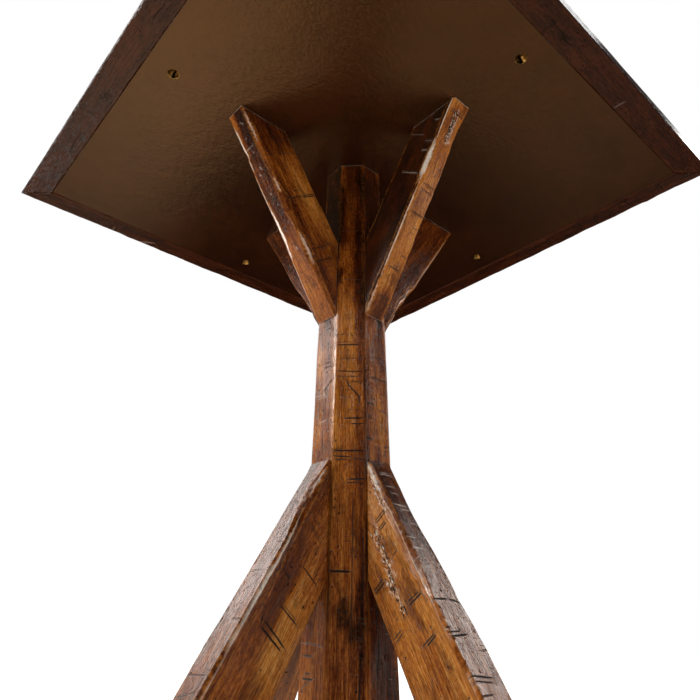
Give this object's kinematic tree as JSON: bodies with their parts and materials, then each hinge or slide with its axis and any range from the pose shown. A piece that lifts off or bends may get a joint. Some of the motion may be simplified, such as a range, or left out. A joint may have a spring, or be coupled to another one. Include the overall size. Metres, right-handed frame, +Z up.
{
  "type": "side table",
  "caption": "Square side table on an octagonal pedestal post, with raking struts under the top and spreading braces down to the floor, in antiqued dark timber.",
  "frame": {"origin": "on the floor, under the centre of the square top", "axes": "+Z up; X and Y run along the sides of the top, and the struts and braces lie along X and Y"},
  "size_m": [0.61, 0.61, 0.66],
  "materials": {
    "post_wood": "antiqued amber brown, waxed gloss",
    "limb_wood": "antiqued amber brown, waxed gloss, hand-cut chamfers",
    "edging_wood": "dark red brown, satin",
    "board_wood": "dark antiqued brown, waxed gloss",
    "stained_panel": "dark brown stain, satin",
    "dowel_wood": "bare pale hardwood",
    "insert_brass": "plain brass",
    "glide_nylon": "dark nylon"
  },
  "bodies": {
    "root": {"post": "post_wood", "strut_right": "limb_wood", "brace_right": "limb_wood", "strut_dowel_right": "dowel_wood", "brace_dowel_right": "dowel_wood", "top_dowel_right": "dowel_wood", "threaded_insert_right": "insert_brass", "edging_right": "edging_wood", "glide_right": "glide_nylon", "strut_rear": "limb_wood", "brace_rear": "limb_wood", "strut_dowel_rear": "dowel_wood", "brace_dowel_rear": "dowel_wood", "top_dowel_rear": "dowel_wood", "threaded_insert_rear": "insert_brass", "edging_rear": "edging_wood", "glide_rear": "glide_nylon", "strut_left": "limb_wood", "brace_left": "limb_wood", "strut_dowel_left": "dowel_wood", "brace_dowel_left": "dowel_wood", "top_dowel_left": "dowel_wood", "threaded_insert_left": "insert_brass", "edging_left": "edging_wood", "glide_left": "glide_nylon", "strut_front": "limb_wood", "brace_front": "limb_wood", "strut_dowel_front": "dowel_wood", "brace_dowel_front": "dowel_wood", "top_dowel_front": "dowel_wood", "threaded_insert_front": "insert_brass", "edging_front": "edging_wood", "glide_front": "glide_nylon", "mitre_key_right_rear": "dowel_wood", "mitre_key_rear_left": "dowel_wood", "mitre_key_left_front": "dowel_wood", "mitre_key_front_right": "dowel_wood", "top_board_1": "board_wood", "top_board_2": "board_wood", "top_board_3": "board_wood", "top_board_4": "board_wood", "top_board_5": "board_wood", "underside_panel": "stained_panel"}
  },
  "joints": []
}
